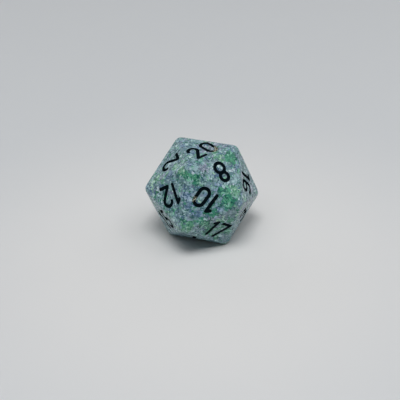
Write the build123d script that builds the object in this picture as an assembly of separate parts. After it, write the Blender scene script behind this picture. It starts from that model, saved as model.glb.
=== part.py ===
from build123d import *

import os
from math import acos, atan2, cos, degrees, hypot, radians, sin, sqrt

# A twenty-sided die: one solid moulded body, and the dried paint that fills each engraved digit.
#
# The die rests on face 1 with face 20 on top. The origin is the centre of face 1, +Z points up
# through face 20, and +Y is where the top of the numeral 20 points. All lengths are in millimetres.
# Opposite faces add up to 21, so face N and face 21 - N are each other's image through the centre.

# Body
ACROSS_FACES = 20.0  # from a face to the opposite face
EDGE_ROUNDING = 1.3  # radius that tumbling leaves along the edges and round the corners

# Engraving: a line of constant width with round ends, upright walls and a flat floor
DIGIT_HEIGHT = 4.6  # over the line
DIGIT_WIDTH = 2.7  # over the line; the digit 1 is narrower
LINE_WIDTH = 0.7
LONE_DIGIT_SCALE = 1.02  # the numerals 1 to 9 are a little larger
DIGIT_GAP = 0.7  # between neighbouring digits, and between a digit and its dot
NUMERAL_DROP = 0.3  # from the centre of a face down to the centre of its numeral
GROOVE_DEPTH = 0.45
DOT_DIAMETER = 0.8  # the dot beside 6 and 9 tells which way up they are read

# Numerals that sit off centre: how far right and up
NUMERAL_SHIFTS = {
    2: (0.15, 0.1),
    8: (0.15, 0.1),
    10: (-0.05, -0.15),
    12: (0.2, 0.15),
    15: (0.2, -0.05),
    16: (0.35, 0.15),
    17: (0.55, -0.3),
}

# Paint
PAINT_SINK = 0.04  # from the face down to the dried paint

# Pen strokes, between the centres of the engraved line
PEN_HEIGHT = DIGIT_HEIGHT - LINE_WIDTH
PEN_WIDTH = DIGIT_WIDTH - LINE_WIDTH
PEN_TOP = PEN_HEIGHT / 2
PEN_RIGHT = PEN_WIDTH / 2
UPPER_BOWL = 0.23 * PEN_HEIGHT  # radius of the smaller bowl of 3 and 8
LOWER_BOWL = 0.5 * PEN_HEIGHT - UPPER_BOWL  # radius of the larger one, which fills the rest
FIVE_BOWL = 0.28 * PEN_HEIGHT

# Icosahedron
GOLDEN = (1 + sqrt(5)) / 2
APOTHEM = ACROSS_FACES / 2  # from the centre of the die to a face
EDGE = APOTHEM * 2 * sqrt(3) / GOLDEN**2
FACE_RADIUS = EDGE / sqrt(3)  # from the centre of a face to its corners


def ring(height, radius, first_angle):
    """Three sharp corners at equal angles about the vertical axis, from the centre of the die."""
    angles = [radians(first_angle + 120 * step) for step in range(3)]
    return [Vector(radius * cos(angle), radius * sin(angle), height) for angle in angles]


# The corners in four rings of three, with the front at -Y; the lower two mirror the upper two
top_rear, top_left, top_right = ring(APOTHEM, FACE_RADIUS, 90)
upper_left, upper_front, upper_right = ring(APOTHEM - FACE_RADIUS, GOLDEN * FACE_RADIUS, 150)
lower_right, lower_rear, lower_left = -upper_left, -upper_front, -upper_right
bottom_front, bottom_right, bottom_left = -top_rear, -top_left, -top_right

UPPER_CORNERS = [top_rear, top_left, top_right, upper_left, upper_front, upper_right]
CORNERS = UPPER_CORNERS + [-corner for corner in UPPER_CORNERS]

# One face of each opposite pair: first the corner that the top of its numeral points to
FACE_CORNERS = {
    2: (upper_left, top_rear, top_left),
    3: (upper_front, lower_right, bottom_front),
    7: (lower_left, bottom_front, bottom_left),
    8: (upper_front, top_left, top_right),
    10: (lower_left, top_left, upper_front),
    12: (lower_left, top_left, upper_left),
    15: (upper_left, lower_left, bottom_left),
    16: (lower_right, top_right, upper_front),
    17: (upper_front, lower_left, bottom_front),
    20: (top_rear, top_left, top_right),
}

# Where paint has come out of a groove: the outline of the bare patch, on the plane of the face
BARE_PATCHES = {
    "ink_20_units": [
        (1.6, -1.6), (1.3, -2.15), (1.45, -2.8), (3.3, -2.8),
        (3.25, -0.5), (2.75, -0.8), (2.2, -0.55), (2.0, -1.4),
    ],
    "ink_10_units": [
        (1.35, 0.1), (1.85, -0.05), (2.05, 0.2), (2.65, 0.1), (2.4, 1.5), (1.75, 1.4), (1.3, 0.95),
    ],
}


def die_blank():
    """The body before engraving: a smaller icosahedron, grown all round by the rounding radius."""
    shrink = (APOTHEM - EDGE_ROUNDING) / APOTHEM
    core = ConvexPolyhedron([corner * shrink for corner in CORNERS])
    return offset(core, amount=EDGE_ROUNDING, kind=Kind.ARC)


def face_plane(corners):
    """The plane of a face, with y towards the corner that its numeral points to."""
    centre = (corners[0] + corners[1] + corners[2]) / 3
    upward = (corners[0] - centre).normalized()
    outward = centre.normalized()
    return Plane(origin=centre, x_dir=upward.cross(outward), z_dir=outward)


def face_planes():
    """The plane of every face, by number."""
    planes = {number: face_plane(corners) for number, corners in FACE_CORNERS.items()}
    for number, corners in FACE_CORNERS.items():
        planes[21 - number] = face_plane([-corner for corner in corners])
    return dict(sorted(planes.items()))


def stroke(*path):
    """The engraved line that follows a path of joined edges."""
    return Sketch() + SlotArc(Wire(list(path)), LINE_WIDTH)


def bowl(radius, height):
    """A full circle of engraved line, with its centre at a height."""
    middle = Pos(0, height)
    return middle * Circle(radius + LINE_WIDTH / 2) - middle * Circle(radius - LINE_WIDTH / 2)


def arc(radius, height, start, sweep):
    """A piece of a bowl: start angle from +x, sweep positive when anticlockwise, both in degrees."""
    return CenterArc((0, height), radius, start, sweep)


def zero():
    """Two straight sides joined by half circles."""
    outer = SlotOverall(DIGIT_HEIGHT, DIGIT_WIDTH, rotation=90)
    inner = SlotOverall(DIGIT_HEIGHT - 2 * LINE_WIDTH, DIGIT_WIDTH - 2 * LINE_WIDTH, rotation=90)
    return outer - inner


def one():
    """An upright stem with a short flag."""
    flag_end = (-0.33 * PEN_WIDTH, PEN_TOP - 0.28 * PEN_WIDTH)
    flag = Line(flag_end, (0, PEN_TOP))
    stem = Line((0, PEN_TOP), (0, -PEN_TOP))
    return stroke(flag, stem)


def two():
    """A hook over the top, a straight slant that leaves it without a kink, and a flat base."""
    centre_height = PEN_TOP - PEN_RIGHT
    foot_depth = centre_height + PEN_TOP
    towards_foot = degrees(atan2(-foot_depth, -PEN_RIGHT))
    to_tangent = degrees(acos(PEN_RIGHT / hypot(PEN_RIGHT, foot_depth)))
    leave_angle = towards_foot + to_tangent
    start_angle = 170
    hook = arc(PEN_RIGHT, centre_height, start_angle, leave_angle - start_angle)
    slant = Line(hook @ 1, (-PEN_RIGHT, -PEN_TOP))
    base = Line((-PEN_RIGHT, -PEN_TOP), (PEN_RIGHT, -PEN_TOP))
    return stroke(hook, slant, base)


def three():
    """Two open bowls."""
    upper = arc(UPPER_BOWL, PEN_TOP - UPPER_BOWL, 160, -250)
    lower = arc(LOWER_BOWL, LOWER_BOWL - PEN_TOP, -160, 250)
    return stroke(upper) + stroke(lower)


def four():
    """A stem crossed by a bar, with a slant from the stem's top to the bar's end."""
    stem_x = 0.45 * PEN_RIGHT
    bar_y = -0.42 * PEN_TOP
    slant = Line((stem_x, PEN_TOP), (-PEN_RIGHT, bar_y))
    bar = Line((-PEN_RIGHT, bar_y), (PEN_RIGHT, bar_y))
    stem = Line((stem_x, PEN_TOP), (stem_x, -PEN_TOP))
    return stroke(slant, bar) + stroke(stem)


def five():
    """A flat top, a short upright on the left and an open bowl."""
    swell = arc(FIVE_BOWL, FIVE_BOWL - PEN_TOP, 140, -290)
    left_x = (swell @ 0).X
    top = Line((0.85 * PEN_RIGHT, PEN_TOP), (left_x, PEN_TOP))
    upright = Line((left_x, PEN_TOP), swell @ 0)
    return stroke(top, upright, swell)


def six():
    """A closed bowl whose left side runs up and over the top."""
    top_height = PEN_TOP - PEN_RIGHT
    side = Line((-PEN_RIGHT, PEN_RIGHT - PEN_TOP), (-PEN_RIGHT, top_height))
    over = arc(PEN_RIGHT, top_height, 180, -150)
    return bowl(PEN_RIGHT, PEN_RIGHT - PEN_TOP) + stroke(side, over)


def seven():
    """A flat top and a straight leg."""
    top = Line((-PEN_RIGHT, PEN_TOP), (PEN_RIGHT, PEN_TOP))
    leg = Line((PEN_RIGHT, PEN_TOP), (-0.45 * PEN_RIGHT, -PEN_TOP))
    return stroke(top, leg)


def eight():
    """Two closed bowls, one on the other."""
    return bowl(UPPER_BOWL, PEN_TOP - UPPER_BOWL) + bowl(LOWER_BOWL, LOWER_BOWL - PEN_TOP)


def nine():
    """A six turned upside down."""
    return six().rotate(Axis.Z, 180)


def dot():
    """The mark at the foot of 6 and 9."""
    return Pos(0, (DOT_DIAMETER - DIGIT_HEIGHT) / 2) * Circle(DOT_DIAMETER / 2)


DIGITS = [zero, one, two, three, four, five, six, seven, eight, nine]


def numeral_shapes(number):
    """The digits and dot of a face's numeral, by node name, side by side about the face's centre."""
    digits = [DIGITS[int(figure)]() for figure in str(number)]
    if number < 10:
        shapes = {f"ink_{number}": digits[0]}
    else:
        shapes = {f"ink_{number}_tens": digits[0], f"ink_{number}_units": digits[1]}
    if number in (6, 9):
        shapes[f"ink_{number}_dot"] = dot()
    if number < 10:
        shapes = {name: scale(shape, by=LONE_DIGIT_SCALE) for name, shape in shapes.items()}
    boxes = {name: shape.bounding_box() for name, shape in shapes.items()}
    total = sum(box.size.X for box in boxes.values()) + DIGIT_GAP * (len(boxes) - 1)
    shift_right, shift_up = NUMERAL_SHIFTS.get(number, (0, 0))
    left = shift_right - total / 2
    placed = {}
    for name, shape in shapes.items():
        placed[name] = Pos(left - boxes[name].min.X, shift_up - NUMERAL_DROP) * shape
        left += boxes[name].size.X + DIGIT_GAP
    return placed


def groove(plane, shape):
    """The cut that a digit's tool leaves in a face."""
    return extrude(plane * shape, amount=-GROOVE_DEPTH)


def paint(name, plane, shape):
    """The dried paint in a groove, a little below the face and missing from any bare patch."""
    if name in BARE_PATCHES:
        shape = shape - make_face(Polyline(*BARE_PATCHES[name], close=True))
    floor = plane.offset(-GROOVE_DEPTH)
    return extrude(floor * shape, amount=GROOVE_DEPTH - PAINT_SINK)


def build():
    """Every piece of the die, by node name, about the centre of the die."""
    body = die_blank()
    pieces = {}
    for number, plane in face_planes().items():
        for name, shape in numeral_shapes(number).items():
            body -= groove(plane, shape)
            pieces[name] = paint(name, plane, shape)
    return {"die_body": body, **pieces}


os.makedirs("parts", exist_ok=True)
for node, piece in build().items():
    export_step(Pos(0, 0, APOTHEM) * piece, f"parts/{node}.step")
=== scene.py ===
"""A speckled twenty-sided die on a pale table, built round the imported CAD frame.

The CAD body gives the size of the die and the outline of every engraved digit, and each CAD paint fill
gives the outline of the paint that is left in its groove. All lengths are in metres, and MM turns a
length in millimetres into one.
"""

import itertools
import math

import bmesh
import bpy
import numpy as np
from mathutils import Matrix, Vector, noise


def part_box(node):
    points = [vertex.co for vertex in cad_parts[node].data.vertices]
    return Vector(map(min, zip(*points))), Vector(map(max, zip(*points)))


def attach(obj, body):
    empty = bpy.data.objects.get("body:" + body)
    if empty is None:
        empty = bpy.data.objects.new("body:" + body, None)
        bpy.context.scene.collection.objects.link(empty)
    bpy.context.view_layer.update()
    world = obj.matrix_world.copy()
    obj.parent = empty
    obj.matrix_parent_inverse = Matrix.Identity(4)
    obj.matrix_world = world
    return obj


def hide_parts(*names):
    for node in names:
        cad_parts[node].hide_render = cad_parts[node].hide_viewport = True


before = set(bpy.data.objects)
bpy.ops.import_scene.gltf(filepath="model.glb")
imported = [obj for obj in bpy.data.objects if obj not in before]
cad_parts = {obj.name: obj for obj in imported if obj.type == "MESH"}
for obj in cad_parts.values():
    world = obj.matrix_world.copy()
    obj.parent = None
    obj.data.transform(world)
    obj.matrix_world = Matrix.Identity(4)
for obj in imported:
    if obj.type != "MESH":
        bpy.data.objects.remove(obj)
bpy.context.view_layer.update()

MM = 0.001

# The die, from the frame
BODY_LOW, BODY_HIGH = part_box("die_body")
APOTHEM = (BODY_HIGH.z - BODY_LOW.z) / 2  # from the centre of the die to a face
CENTRE = Vector((0, 0, APOTHEM))
GOLDEN = (1 + math.sqrt(5)) / 2
EDGE = APOTHEM * 2 * math.sqrt(3) / GOLDEN**2
FACE_RADIUS = EDGE / math.sqrt(3)  # from the centre of a face to its sharp corners

# Wear of the body
EDGE_SHARPNESS = 75  # the exponent of the soft maximum of the twenty planes
CORNER_RADIUS = 12.25 * MM  # a sphere about the centre that the corners are worn down to
CORNER_SOFTNESS = 0.12 * MM
FACE_STEPS = 32  # mesh steps along each edge
EDGE_CROWDING = 1.5  # above 1, mesh points crowd towards the edges
WELD_DISTANCE = 0.002 * MM  # points of neighbouring faces closer than this are one
BODY_CREASE = 35  # degrees; shading breaks at sharper edges

# Engraved grooves and their paint, from the floor up: outside the digit's outline and above the face, in mm
GROOVE_PROFILE = [
    (-0.16, -0.45),
    (-0.08, -0.42),
    (-0.03, -0.33),
    (0.0, -0.06),
    (0.01, -0.025),
    (0.03, -0.004),
    (0.035, 0.05),
]
PAINT_PROFILE = [
    (-0.17, -0.44),
    (-0.09, -0.41),
    (-0.04, -0.33),
    (-0.01, -0.05),
    (0.02, -0.006),
    (-0.06, -0.009),
    (-0.14, -0.013),
    (-0.22, -0.016),
]
PAINT_UNEVENNESS = 0.006 * MM
PAINT_SKIN = -0.1  # the profile's points above this height, inside the outline, are the uneven skin
BROAD_RIPPLE = 0.9  # ripples of the skin, per mm
FINE_RIPPLE = 2.3
PAINT_CREASE = 50  # degrees
LONGEST_CURVED_SIDE = 0.6 * MM  # sides of an outline longer than this are straight
GENTLEST_CORNER = math.radians(40)  # a sharper turn of an outline is a real corner
MITRE_LIMIT = 0.5

# Reading outlines from the frame
SAME_DIRECTION = 0.999  # the least cosine between a flat face's normal and its triangles'
POINT_STEP = 0.001 * MM  # CAD points that round to the same step are one
FLOOR_RANGE = (0.9 * APOTHEM, 0.99 * APOTHEM)  # where the groove floors lie, from the centre
PAINT_TOP_RANGE = (0.9 * APOTHEM, APOTHEM)

# Camera: it looks at a point beside the centre of the die
CAMERA_DISTANCE = 232 * MM
CAMERA_AZIMUTH = 230.4
CAMERA_ELEVATION = 32.7
CAMERA_ROLL = -1.8
CAMERA_LENS = 99.2
SENSOR_WIDTH = 36
DIE_OFFSET = Vector((0.51, 1.98)) * MM  # of the die from the middle of the view, right and up

# Colours of the plastic's granules, as red, green and blue out of 255, each with its share of the granules
STONE_TONES = [
    ((56, 94, 102), 0.14),
    ((82, 115, 126), 0.16),
    ((102, 130, 141), 0.17),
    ((116, 147, 155), 0.15),
    ((128, 142, 162), 0.10),
    ((138, 166, 174), 0.16),
    ((162, 186, 193), 0.10),
    ((184, 204, 208), 0.02),
]
DEEP_GREEN_TONES = [
    ((30, 92, 82), 0.26),
    ((46, 122, 98), 0.34),
    ((70, 146, 112), 0.26),
    ((120, 176, 154), 0.14),
]
PALE_GREEN_TONES = [
    ((50, 112, 88), 0.24),
    ((80, 138, 110), 0.32),
    ((114, 164, 138), 0.30),
    ((160, 194, 172), 0.14),
]
BLUE_TONES = [
    ((60, 88, 118), 0.26),
    ((80, 106, 138), 0.34),
    ((108, 128, 160), 0.26),
    ((146, 162, 190), 0.14),
]
LILAC_TONES = [
    ((102, 108, 132), 0.24),
    ((130, 136, 160), 0.36),
    ((154, 158, 180), 0.26),
    ((186, 192, 208), 0.14),
]
GRANULE_BRIGHTNESS = 1.22  # of the plastic against those colours
COARSE_GRANULE = 0.72  # size in mm
FINE_GRANULE = 0.34
GRANULE_PATCH = 0.7  # size in mm of the patches of fine granules among the coarse
COLOUR_BLOTCH = 3.2  # size in mm of the blotches where one colour is more common
CROWD_STRENGTH = 0.9  # the share of granules in the middle of a crowd that have its colour
MOTTLING = 0.35  # strength of the fine light and dark clouds
PLASTIC_IOR = 1.42
TINT = (88, 128, 120)  # a hue that all the granules share a little
TINT_SHARE = 0.16

# Places where granules of one colour crowd together: azimuth, elevation about the centre, radius in mm
DEEP_GREEN_CROWDS = [
    (258, 27, 1.5), (305, 55, 1.6), (97, 65, 0.6), (206, 47, 0.9), (218, 43, 1.5), (232, -7, 1.5),
    (242, 5, 1.1), (259, 15, 1.5), (179, 17, 0.8), (195, 5, 0.8), (248, -39, 0.9), (125, 51, 0.8),
    (240, -16, 1.0), (262, -10, 1.0), (234, -24, 1.1), (263, -30, 0.9), (254, -22, 0.7),
    (242, -31, 0.8), (251, -15, 0.6), (246, -23, 0.6),
]
PALE_GREEN_CROWDS = [
    (272, 23, 1.4), (287, 63, 1.0), (274, 69, 0.8), (295, 73, 0.8), (155, 27, 1.2), (173, 52, 0.9),
    (196, 49, 1.3), (213, -7, 1.6), (228, 38, 0.6), (250, -8, 0.9), (300, 52, 0.9),
    (257, -17, 0.7), (239, -22, 0.7), (254, -33, 0.7),
]
BLUE_CROWDS = [
    (214, 16, 1.3), (247, 9, 1.2), (225, 5, 1.1), (210, 27, 1.3), (219, 6, 1.0), (160, 14, 1.0),
    (174, 41, 1.3), (257, 50, 1.1), (180, 79, 1.1), (253, 36, 1.0),
]
LILAC_CROWDS = [
    (0, 81, 2.6), (344, 70, 2.2), (314, 7, 1.4), (300, 30, 1.0), (160, 36, 1.0), (236, 57, 1.2),
]

# The table, just under the die, so that the two surfaces never coincide
TABLE_HEIGHT = -0.01 * MM
TABLE_HALF_SIZE = 2.0

# Round soft lamps: the azimuth and elevation of each as seen from the die, in degrees, then its power in
# watts and its diameter in metres
LAMPS = {
    "lamp": (228, 72, 3.5, 0.36),
    "left_lamp": (180, 65, 1.1, 0.5),
    "right_lamp": (290, 65, 1.35, 0.5),
    "far_right_lamp": (330, 50, 0.55, 0.55),
}
LAMP_DISTANCE = 0.9

# The room round the table: pale walls low down, each with its azimuth and light, and dim everywhere else
WALLS = [(45, 0.53), (140, 0.2)]
WALL_TOP = (0.75, 0.45)  # the height of a direction where the walls have ended, and where they are still full
ROOM_LIGHT = 0.01
SEEN_BACKDROP = 0.6  # the light of what the camera sees past the table

# Where paint has come away and left a stain: azimuth, elevation, radius in mm
BARE_PLACES = [(322, 73, 1.9), (220, 22, 1.5)]
STAIN_TONES = [(128, 140, 116), (240, 242, 220)]
SCRAP_TONE = (20, 24, 22)
STAIN_DEPTHS = (0.04, 0.12)  # in mm under the face: where the stain begins, and where it is full

# The paint of the numerals
PAINT_TONES = [(4, 10, 14), (14, 26, 32)]
PAINT_IOR = 1.01  # far below that of real paint, so that the strokes hardly reflect

# The paper of the table, with painted light in its colour: a painted pool of light, paler near the die and
# darker farther away
PAPER_LIT_AND_SHADED_TONES = [(231, 231, 231), (216, 219, 222)]  # the paler near the die
PAINTED_LIGHT_POOL_MIDDLE = (-8.0, -8.0)  # the middle of the paler part, in mm
PAINTED_LIGHT_FALLOFF = (15.0, 75.0)  # mm from there, where it begins to darken and where it has darkened


def towards(azimuth, elevation):
    """The direction with an azimuth, from +X towards +Y, and an elevation, both in degrees."""
    across = math.cos(math.radians(elevation))
    return Vector((
        across * math.cos(math.radians(azimuth)),
        across * math.sin(math.radians(azimuth)),
        math.sin(math.radians(elevation)),
    ))


# ---------------------------------------------------------------------------------------------
# Mesh helpers


def new_object(name, mesh):
    """An object for a mesh, in the scene."""
    thing = bpy.data.objects.new(name, mesh)
    bpy.context.scene.collection.objects.link(thing)
    return thing


def mesh_from(name, points, faces):
    """A mesh from points and faces."""
    mesh = bpy.data.meshes.new(name)
    mesh.from_pydata([tuple(point) for point in points], [], faces)
    mesh.update()
    return mesh


def weld(mesh, distance):
    """Joins points closer than a distance."""
    work = bmesh.new()
    work.from_mesh(mesh)
    bmesh.ops.remove_doubles(work, verts=work.verts, dist=distance)
    bmesh.ops.recalc_face_normals(work, faces=work.faces)
    work.to_mesh(mesh)
    work.free()


# ---------------------------------------------------------------------------------------------
# The worn icosahedron


def ring(height, radius, first_angle):
    """Three sharp corners at equal angles about the vertical axis, from the centre of the die."""
    angles = [math.radians(first_angle + 120 * step) for step in range(3)]
    return [Vector((radius * math.cos(angle), radius * math.sin(angle), height)) for angle in angles]


def sharp_corners():
    """The twelve corners of the icosahedron, from the centre of the die."""
    upper = ring(APOTHEM, FACE_RADIUS, 90) + ring(APOTHEM - FACE_RADIUS, GOLDEN * FACE_RADIUS, 150)
    return upper + [-corner for corner in upper]


def corner_triples():
    """The three corners of each face, anticlockwise from outside."""
    triples = []
    for a, b, c in itertools.combinations(sharp_corners(), 3):
        if max((a - b).length, (b - c).length, (c - a).length) < 1.01 * EDGE:
            outward = (b - a).cross(c - a).dot(a) > 0
            triples.append((a, b, c) if outward else (a, c, b))
    return triples


TRIPLES = corner_triples()
NORMALS = [((a + b + c) / 3).normalized() for a, b, c in TRIPLES]


def worn_radius(directions):
    """How far the worn surface is from the centre, along each unit direction."""
    cosines = np.clip(directions @ np.array(NORMALS).T, 0, None)
    planes = APOTHEM / (cosines**EDGE_SHARPNESS).sum(1) ** (1 / EDGE_SHARPNESS)
    softest = np.logaddexp(-planes / CORNER_SOFTNESS, -CORNER_RADIUS / CORNER_SOFTNESS)
    return -CORNER_SOFTNESS * softest


def face_grid(corners):
    """Points over one face, crowded towards its edges, and the triangles that join them."""
    points = []
    index = {}
    for i in range(FACE_STEPS + 1):
        for j in range(FACE_STEPS + 1 - i):
            shares = np.array([i, j, FACE_STEPS - i - j]) / FACE_STEPS
            shares = shares**EDGE_CROWDING
            index[i, j] = len(points)
            points.append(shares @ np.array(corners) / shares.sum())
    triangles = []
    for i, j in index:
        if (i + 1, j) in index and (i, j + 1) in index:
            triangles.append((index[i, j], index[i + 1, j], index[i, j + 1]))
        if (i + 1, j + 1) in index:
            triangles.append((index[i + 1, j], index[i + 1, j + 1], index[i, j + 1]))
    return points, triangles


def worn_body():
    """The body before engraving."""
    points = []
    faces = []
    for corners in TRIPLES:
        face_points, triangles = face_grid(corners)
        faces += [[len(points) + k for k in triangle] for triangle in triangles]
        points += face_points
    points = np.array(points)
    directions = points / np.linalg.norm(points, axis=1)[:, None]
    surface = directions * worn_radius(directions)[:, None] + np.array(CENTRE)
    mesh = mesh_from("die_body_moulding", surface, faces)
    weld(mesh, WELD_DISTANCE)
    return new_object("die_body_moulding", mesh)


# ---------------------------------------------------------------------------------------------
# Outlines of the digits, read from the frame


def flat_triangles(node, normal, lowest, highest):
    """A CAD node's triangles that face along a normal, between two distances from the centre of the die."""
    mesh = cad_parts[node].data
    mesh.calc_loop_triangles()
    chosen = []
    for triangle in mesh.loop_triangles:
        corners = [mesh.vertices[k].co - CENTRE for k in triangle.vertices]
        height = sum(corners, Vector()).dot(normal) / 3
        if triangle.normal.dot(normal) > SAME_DIRECTION and lowest < height < highest:
            chosen.append(corners)
    return chosen


def outline_loops(triangles, plane):
    """The border of some triangles as closed loops of points on a plane, with the inside on the left."""
    place = {}
    following = {}
    for corners in triangles:
        keys = [tuple(round(x / POINT_STEP) for x in corner) for corner in corners]
        place.update(zip(keys, corners))
        for start, end in zip(keys, keys[1:] + keys[:1]):
            if following.get(end) and start in following[end]:
                following[end].remove(start)
            else:
                following.setdefault(start, []).append(end)
    following = {start: ends for start, ends in following.items() if ends}
    to_plane = plane.inverted()
    loops = []
    while following:
        key = next(iter(following))
        loop = []
        while key in following:
            loop.append((to_plane @ place[key]).to_2d())
            ends = following[key]
            step = ends.pop()
            if not ends:
                del following[key]
            key = step
        loops.append(loop)
    return loops


def signed_area(loop):
    """The area inside a loop, negative when it runs clockwise."""
    return sum(a.cross(b) for a, b in zip(loop, loop[1:] + loop[:1])) / 2


def inside(point, loop):
    """Whether a point is inside a loop."""
    crossings = 0
    for a, b in zip(loop, loop[1:] + loop[:1]):
        if (a.y > point.y) != (b.y > point.y):
            crossings += point.x < a.x + (point.y - a.y) * (b.x - a.x) / (b.y - a.y)
    return crossings % 2 == 1


def turns(loop):
    """How far the loop turns at each of its points."""
    sides = [b - a for a, b in zip(loop, loop[1:] + loop[:1])]
    return [before.angle_signed(after) for before, after in zip(sides[-1:] + sides[:-1], sides)]


def rounded(loop):
    """The loop with a point added on each short side between gentle turns, where the outline is curved."""
    bends = turns(loop)
    result = []
    for k, start in enumerate(loop):
        end = loop[(k + 1) % len(loop)]
        bend = (bends[k], bends[(k + 1) % len(loop)])
        side = end - start
        result.append(start)
        curved = bend[0] * bend[1] > 0 and max(map(abs, bend)) < GENTLEST_CORNER
        if curved and side.length < LONGEST_CURVED_SIDE:
            outward = Vector((side.y, -side.x))
            bulge = math.tan(min(bend, key=abs) / 4) / 2
            result.append((start + end) / 2 - outward * bulge)
    return result


def digits(loops):
    """Loops grouped by digit: each outer loop with the holes inside it."""
    outer = [loop for loop in loops if signed_area(loop) > 0]
    holes = [loop for loop in loops if signed_area(loop) < 0]
    return [[border] + [hole for hole in holes if inside(hole[0], border)] for border in outer]


def face_matrix(normal):
    """A frame on a face, about the centre of the die: origin at the face's centre, z outward."""
    upward = Vector((0, 1, 0)) if abs(normal.z) > 0.99 else Vector((0, 0, 1))
    right = upward.cross(normal).normalized()
    upward = normal.cross(right)
    matrix = Matrix((right, upward, normal)).transposed().to_4x4()
    matrix.translation = normal * APOTHEM
    return matrix


# ---------------------------------------------------------------------------------------------
# Solids with a profile, from outlines


def moved_out(loop, distance):
    """The loop moved outward by a distance, with limited mitres at its corners."""
    result = []
    for k, point in enumerate(loop):
        before = (point - loop[k - 1]).normalized()
        after = (loop[(k + 1) % len(loop)] - point).normalized()
        normals = Vector((before.y + after.y, -before.x - after.x))
        spread = max(1 + before.dot(after), MITRE_LIMIT)
        result.append(point + normals * distance / spread)
    return result


def cap(work, rims, outward):
    """Closes a solid across one or more rims, facing outward."""
    edges = [work.edges.get((rim[k - 1], rim[k])) for rim in rims for k in range(len(rim))]
    filled = bmesh.ops.triangle_fill(work, use_beauty=True, use_dissolve=False, edges=edges)
    for face in filled["geom"]:
        if isinstance(face, bmesh.types.BMFace):
            face.normal_update()
            if face.normal.dot(outward) < 0:
                face.normal_flip()


def profiled_solid(name, loops, plane, profile, unevenness=0.0):
    """A closed solid whose outline follows the loops, moved out or in along a profile."""
    work = bmesh.new()
    outward = plane.to_3x3() @ Vector((0, 0, 1))
    floor_rims = []
    top_rims = []
    for loop in loops:
        rings = []
        for spread, height in profile:
            points = []
            for point in moved_out(loop, spread * MM):
                place = plane @ Vector((point.x, point.y, height * MM))
                broad = noise.noise(place / MM * BROAD_RIPPLE)
                ripple = broad + 0.5 * noise.noise(place / MM * FINE_RIPPLE)
                lift = unevenness * ripple if height > PAINT_SKIN and spread < 0 else 0.0
                points.append(work.verts.new(place + outward * lift))
            rings.append(points)
        for lower, upper in zip(rings, rings[1:]):
            for k in range(len(loop)):
                work.faces.new((lower[k - 1], lower[k], upper[k], upper[k - 1]))
        floor_rims.append(rings[0])
        top_rims.append(rings[-1])
    cap(work, floor_rims, -outward)
    cap(work, top_rims, outward)
    mesh = bpy.data.meshes.new(name)
    work.to_mesh(mesh)
    work.free()
    return mesh


def groove_cutters():
    """One solid for each engraved groove, from the groove floors of the CAD body, joined into one mesh."""
    work = bmesh.new()
    for normal in NORMALS:
        plane = face_matrix(normal)
        floors = flat_triangles("die_body", normal, *FLOOR_RANGE)
        for loops in digits(outline_loops(floors, plane)):
            solid = profiled_solid("groove", [rounded(loop) for loop in loops], plane, GROOVE_PROFILE)
            work.from_mesh(solid)
            bpy.data.meshes.remove(solid)
    mesh = bpy.data.meshes.new("grooves")
    work.to_mesh(mesh)
    work.free()
    mesh.transform(Matrix.Translation(CENTRE))
    return new_object("grooves", mesh)


def engrave(body):
    """Cuts every groove out of the body."""
    cutters = groove_cutters()
    cut = body.modifiers.new("grooves", "BOOLEAN")
    cut.operation = "DIFFERENCE"
    cut.solver = "EXACT"
    cut.object = cutters
    evaluated = body.evaluated_get(bpy.context.evaluated_depsgraph_get())
    mesh = bpy.data.meshes.new_from_object(evaluated)
    body.modifiers.clear()
    body.data = mesh
    bpy.data.objects.remove(cutters)


def paint_fill(node):
    """The dried paint in one groove, nearly level with the face and a little lower in the middle."""
    low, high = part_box(node)
    middle = (low + high) / 2 - CENTRE
    normal = max(NORMALS, key=middle.dot)
    plane = face_matrix(normal)
    tops = flat_triangles(node, normal, *PAINT_TOP_RANGE)
    loops = outline_loops(tops, plane)
    mesh = profiled_solid(node, [rounded(loop) for loop in loops], plane, PAINT_PROFILE, PAINT_UNEVENNESS)
    mesh.transform(Matrix.Translation(CENTRE))
    return new_object(node.replace("ink", "paint"), mesh)


def shade_smooth(thing, angle):
    """Smooth shading, except across edges sharper than an angle in degrees."""
    thing.data.shade_smooth()
    thing.data.set_sharp_from_angle(angle=math.radians(angle))


# ---------------------------------------------------------------------------------------------
# Materials


class Nodes:
    """A tree of shader nodes; any value that goes in may be a constant or another node's output."""

    def __init__(self, tree):
        self.tree = tree

    def feed(self, socket, value):
        """Gives an input its value."""
        if isinstance(value, bpy.types.NodeSocket):
            self.tree.links.new(value, socket)
        else:
            socket.default_value = value

    def node(self, kind, inputs, **settings):
        """A new node, with its inputs by name or by position."""
        made = self.tree.nodes.new("ShaderNode" + kind)
        for name, value in settings.items():
            setattr(made, name, value)
        for key, value in inputs.items():
            self.feed(made.inputs[key], value)
        return made

    def math(self, operation, *values):
        """The result of a sum on numbers."""
        return self.node("Math", dict(enumerate(values)), operation=operation).outputs[0]

    def vector_math(self, operation, *values):
        """The result of a sum on places or directions."""
        made = self.node("VectorMath", dict(enumerate(values)), operation=operation)
        return made.outputs["Value" if operation in ("DISTANCE", "DOT_PRODUCT") else "Vector"]

    def span(self, value, low, high):
        """From 0 at the low value to 1 at the high one, with soft ends."""
        inputs = {"Value": value, "From Min": low, "From Max": high}
        return self.node("MapRange", inputs, interpolation_type="SMOOTHSTEP").outputs["Result"]

    def blend(self, share, first, second, blend_type="MIX"):
        """A colour between two colours."""
        inputs = {0: share, 6: first, 7: second}
        return self.node("Mix", inputs, data_type="RGBA", blend_type=blend_type).outputs[2]


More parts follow.
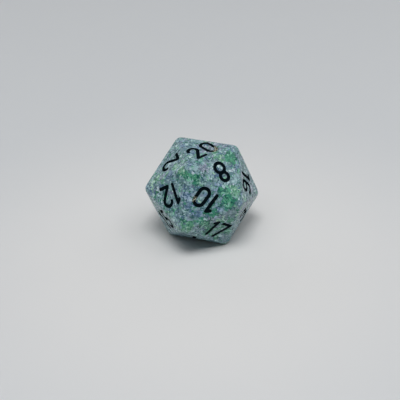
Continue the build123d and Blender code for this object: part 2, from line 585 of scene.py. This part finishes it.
class Shading(Nodes):
    """A material, with places on it in millimetres from the centre of the die."""

    def __init__(self, name):
        self.material = bpy.data.materials.new(name)
        self.material.use_nodes = True
        super().__init__(self.material.node_tree)
        self.surface = self.tree.nodes["Principled BSDF"].inputs
        place = self.node("TexCoord", {}).outputs["Object"]
        scaled = self.vector_math("DIVIDE", place, (MM, MM, MM))
        self.place = self.vector_math("SUBTRACT", scaled, CENTRE / MM)

    def noise(self, size, detail=2.0, roughness=0.5, place=None):
        """A cloudy value around 0.5 and a cloudy colour; size is that of its blotches in mm."""
        inputs = {
            "Vector": place or self.place,
            "Scale": 1 / size,
            "Detail": detail,
            "Roughness": roughness,
        }
        made = self.node("TexNoise", inputs)
        return made.outputs[0], made.outputs[1]

    def stirred(self, size, amount):
        """Places pushed about by up to an amount in mm."""
        push = self.vector_math("SUBTRACT", self.noise(size)[1], (0.5, 0.5, 0.5))
        return self.vector_math("ADD", self.place, self.vector_math("MULTIPLY", push, (amount,) * 3))

    def tones(self, chance, palette, brightness):
        """One colour of a palette, picked by a chance between 0 and 1."""
        made = self.node("ValToRGB", {"Fac": chance})
        ramp = made.color_ramp
        ramp.interpolation = "CONSTANT"
        reached = 0.0
        for step, (colour, share) in enumerate(palette):
            stop = ramp.elements[0] if step == 0 else ramp.elements.new(reached)
            stop.position = reached
            stop.color = shade(colour, brightness)
            reached += share
        ramp.elements.remove(ramp.elements[-1])
        return made.outputs["Color"]

    def bump(self, height, depth):
        """Relief on the surface: heights between 0 and 1, and the depth in mm that 1 stands for."""
        inputs = {"Height": height, "Distance": depth * MM, "Strength": 1.0}
        self.feed(self.surface["Normal"], self.node("Bump", inputs).outputs["Normal"])


def shade(colour, brightness=1.0):
    """A colour given out of 255, as light."""
    parts = [part / 255 for part in colour]
    linear = [part / 12.92 if part < 0.04045 else ((part + 0.055) / 1.055) ** 2.4 for part in parts]
    return (*[part * brightness for part in linear], 1.0)


def on_die(azimuth, elevation):
    """The place on the sharp icosahedron in a direction from its centre, in mm."""
    direction = towards(azimuth, elevation)
    return direction * APOTHEM / max(direction.dot(normal) for normal in NORMALS) / MM


def crowding(shading, place, crowds):
    """How strongly granules crowd at a place: 1 in the middle of a crowd, 0 outside."""
    most = 0.0
    for azimuth, elevation, radius in crowds:
        distance = shading.vector_math("DISTANCE", place, on_die(azimuth, elevation))
        most = shading.math("MAXIMUM", most, shading.span(distance, 1.2 * radius, 0.6 * radius))
    return most


def share_of(shading, place, seed, blotch, plenty, crowds):
    """The share of granules at a place that have one colour: some everywhere, more in blotches and crowds."""
    turned = shading.vector_math("ADD", place, (seed, -seed, 2 * seed))
    blotches = shading.span(shading.noise(blotch, place=turned)[0], 0.48, 0.75)
    spread = shading.math("MULTIPLY_ADD", blotches, plenty, 0.12 * plenty)
    crowded = shading.math("MULTIPLY", crowding(shading, place, crowds), CROWD_STRENGTH)
    return shading.math("MAXIMUM", spread, crowded)


def granules(shading, size, offset):
    """Granules of a size in mm, each of one colour."""
    away = (offset, offset, offset)
    place = shading.vector_math("ADD", shading.stirred(1.1 * size, 1.5 * size), away)
    cells = shading.node("TexVoronoi", {"Vector": place, "Scale": 1 / size})
    middle = shading.vector_math("SUBTRACT", cells.outputs["Position"], away)
    chance = shading.node("SeparateColor", {"Color": cells.outputs["Color"]}).outputs
    second_chance = shading.math("FRACT", shading.math("MULTIPLY", chance[1], 17.0))
    third_chance = shading.math("FRACT", shading.math("MULTIPLY", chance[2], 23.0))
    colour = shading.tones(chance[0], STONE_TONES, GRANULE_BRIGHTNESS)
    for palette, crowds, seed, plenty, draw in (
        (LILAC_TONES, LILAC_CROWDS, 71.0, 0.2, third_chance),
        (BLUE_TONES, BLUE_CROWDS, 31.0, 0.5, chance[1]),
        (PALE_GREEN_TONES, PALE_GREEN_CROWDS, 11.0, 0.25, second_chance),
        (DEEP_GREEN_TONES, DEEP_GREEN_CROWDS, 53.0, 0.25, chance[2]),
    ):
        share = share_of(shading, middle, seed, COLOUR_BLOTCH, plenty, crowds)
        own = shading.tones(chance[0], palette, GRANULE_BRIGHTNESS)
        colour = shading.blend(shading.math("LESS_THAN", draw, share), colour, own)
    return colour


def speckled_plastic():
    """Satin plastic pressed from granules of many blues and greens, with a stain in the bare grooves."""
    shading = Shading("speckled_plastic")
    coarse = granules(shading, COARSE_GRANULE, 0.0)
    fine = granules(shading, FINE_GRANULE, 50.0)
    patchy = shading.span(shading.noise(GRANULE_PATCH, detail=3.0)[0], 0.47, 0.53)
    colour = shading.blend(patchy, coarse, fine)
    cloud = shading.span(shading.noise(0.5, detail=4.0, roughness=0.7)[0], 0.25, 0.75)
    grey = shading.blend(cloud, shade((0, 0, 0)), shade((255, 255, 255)))
    colour = shading.blend(MOTTLING, colour, grey, "OVERLAY")
    colour = shading.blend(TINT_SHARE, colour, shade(TINT), "COLOR")
    colour = stained(shading, colour)
    shading.feed(shading.surface["Base Color"], colour)
    shading.feed(shading.surface["IOR"], PLASTIC_IOR)
    rough = shading.math("MULTIPLY_ADD", shading.noise(0.3, detail=4.0)[0], 0.26, 0.15)
    shading.feed(shading.surface["Roughness"], rough)
    pits = shading.noise(0.12, detail=3.0)[0]
    peel = shading.noise(0.9, detail=2.0)[0]
    shading.bump(shading.math("ADD", shading.math("MULTIPLY", pits, 0.25), peel), 0.02)
    return shading.material


def stained(shading, colour):
    """Adds what is left where paint came away: a pale stain with dark scraps of the paint."""
    stain = shading.blend(shading.noise(0.35)[0], *map(shade, STAIN_TONES))
    scraps = shading.span(shading.noise(0.3, detail=3.0)[0], 0.49, 0.53)
    stain = shading.blend(scraps, stain, shade(SCRAP_TONE))
    for azimuth, elevation, radius in BARE_PLACES:
        middle = on_die(azimuth, elevation)
        normal = max(NORMALS, key=middle.dot)
        height = shading.vector_math("DOT_PRODUCT", shading.place, normal)
        depth = shading.math("SUBTRACT", APOTHEM / MM, height)
        in_groove = shading.span(depth, *STAIN_DEPTHS)
        away = shading.vector_math("DISTANCE", shading.place, middle)
        nearby = shading.math("LESS_THAN", away, radius)
        colour = shading.blend(shading.math("MULTIPLY", in_groove, nearby), colour, stain)
    return colour


def numeral_paint():
    """Dried black paint, a little blue-green, uneven in its sheen."""
    shading = Shading("numeral_paint")
    cloud = shading.noise(0.5, detail=3.0)[0]
    colour = shading.blend(cloud, *map(shade, PAINT_TONES))
    shading.feed(shading.surface["Base Color"], colour)
    shading.feed(shading.surface["IOR"], PAINT_IOR)
    rough = shading.math("MULTIPLY_ADD", shading.noise(0.25, detail=3.0)[0], 0.35, 0.25)
    shading.feed(shading.surface["Roughness"], rough)
    shading.bump(shading.noise(0.3, detail=3.0)[0], 0.03)
    return shading.material


def table_paper():
    """Smooth pale paper, with painted light: a painted pool of light makes it paler near the die and darker
    away from it.
    """
    shading = Shading("table_paper")
    # painted light: the paper's colour is paler near the die and darkens farther out, standing in for the
    # lamps' light falling off
    distance_from_painted_light = shading.vector_math("DISTANCE", shading.place, (*PAINTED_LIGHT_POOL_MIDDLE, -APOTHEM / MM))
    away = shading.span(distance_from_painted_light, *PAINTED_LIGHT_FALLOFF)
    mottled = shading.math("SUBTRACT", shading.noise(9.0, detail=4.0)[0], 0.5)
    share = shading.math("MULTIPLY_ADD", mottled, 0.12, away)
    colour = shading.blend(share, *map(shade, PAPER_LIT_AND_SHADED_TONES))
    shading.feed(shading.surface["Base Color"], colour)
    rough = shading.math("MULTIPLY_ADD", shading.noise(1.5, detail=5.0)[0], 0.15, 0.6)
    shading.feed(shading.surface["Roughness"], rough)
    shading.bump(shading.noise(0.35, detail=4.0)[0], 0.01)
    return shading.material


# ---------------------------------------------------------------------------------------------
# Stage


def camera():
    """The camera, at the photograph's viewing angle."""
    back = towards(CAMERA_AZIMUTH, CAMERA_ELEVATION)
    roll = Matrix.Rotation(math.radians(CAMERA_ROLL), 3, "Z")
    turn = (-back).to_track_quat("-Z", "Y").to_matrix() @ roll
    aim = CENTRE - turn @ Vector((DIE_OFFSET.x, DIE_OFFSET.y, 0))
    data = bpy.data.cameras.new("camera")
    data.lens = CAMERA_LENS
    data.sensor_width = SENSOR_WIDTH
    data.clip_start = 0.01
    data.clip_end = 10
    thing = bpy.data.objects.new("camera", data)
    thing.matrix_world = Matrix.Translation(aim + back * CAMERA_DISTANCE) @ turn.to_4x4()
    bpy.context.scene.collection.objects.link(thing)
    bpy.context.scene.camera = thing


def table_top():
    """A pale table under the die."""
    sides = [(-1, -1), (1, -1), (1, 1), (-1, 1)]
    corners = [(x * TABLE_HALF_SIZE, y * TABLE_HALF_SIZE, TABLE_HEIGHT) for x, y in sides]
    floor = new_object("table_top", mesh_from("table_top", corners, [(0, 1, 2, 3)]))
    floor.data.materials.append(table_paper())


def soft_light(name, azimuth, elevation, power, size):
    """A round soft light that faces the die."""
    away = towards(azimuth, elevation)
    data = bpy.data.lights.new(name, "AREA")
    data.shape = "DISK"
    data.size = size
    data.energy = power
    thing = bpy.data.objects.new(name, data)
    turn = away.to_track_quat("Z", "Y").to_matrix().to_4x4()
    thing.matrix_world = Matrix.Translation(away * LAMP_DISTANCE) @ turn
    bpy.context.scene.collection.objects.link(thing)


def room():
    """The light of the room."""
    world = bpy.data.worlds.new("room")
    world.use_nodes = True
    bpy.context.scene.world = world
    nodes = Nodes(world.node_tree)
    direction = nodes.node("TexCoord", {}).outputs["Generated"]
    height = nodes.node("SeparateXYZ", {"Vector": direction}).outputs["Z"]
    low = nodes.span(height, *WALL_TOP)
    light = ROOM_LIGHT
    for azimuth, wall_light in WALLS:
        facing = nodes.vector_math("DOT_PRODUCT", direction, towards(azimuth, 0))
        wall = nodes.math("MULTIPLY", nodes.span(facing, 0.0, 0.6), low)
        light = nodes.math("MULTIPLY_ADD", wall, wall_light, light)
    seen = nodes.node("LightPath", {}).outputs["Is Camera Ray"]
    backdrop = nodes.math("MULTIPLY", seen, SEEN_BACKDROP)
    background = nodes.tree.nodes["Background"].inputs
    background["Color"].default_value = (0.97, 0.99, 1.0, 1.0)
    nodes.feed(background["Strength"], nodes.math("MAXIMUM", light, backdrop))


# ---------------------------------------------------------------------------------------------
# The scene

plastic = speckled_plastic()
ink = numeral_paint()

body = worn_body()
engrave(body)
shade_smooth(body, BODY_CREASE)
body.data.materials.clear()
body.data.materials.append(plastic)
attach(body, "root")
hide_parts("die_body")

for node in sorted(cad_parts):
    if node.startswith("ink_"):
        fill = paint_fill(node)
        shade_smooth(fill, PAINT_CREASE)
        fill.data.materials.append(ink)
        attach(fill, "root")
        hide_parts(node)

table_top()
for name, (azimuth, elevation, power, size) in LAMPS.items():
    soft_light(name, azimuth, elevation, power, size)
room()
camera()
bpy.context.scene.view_settings.view_transform = "Standard"
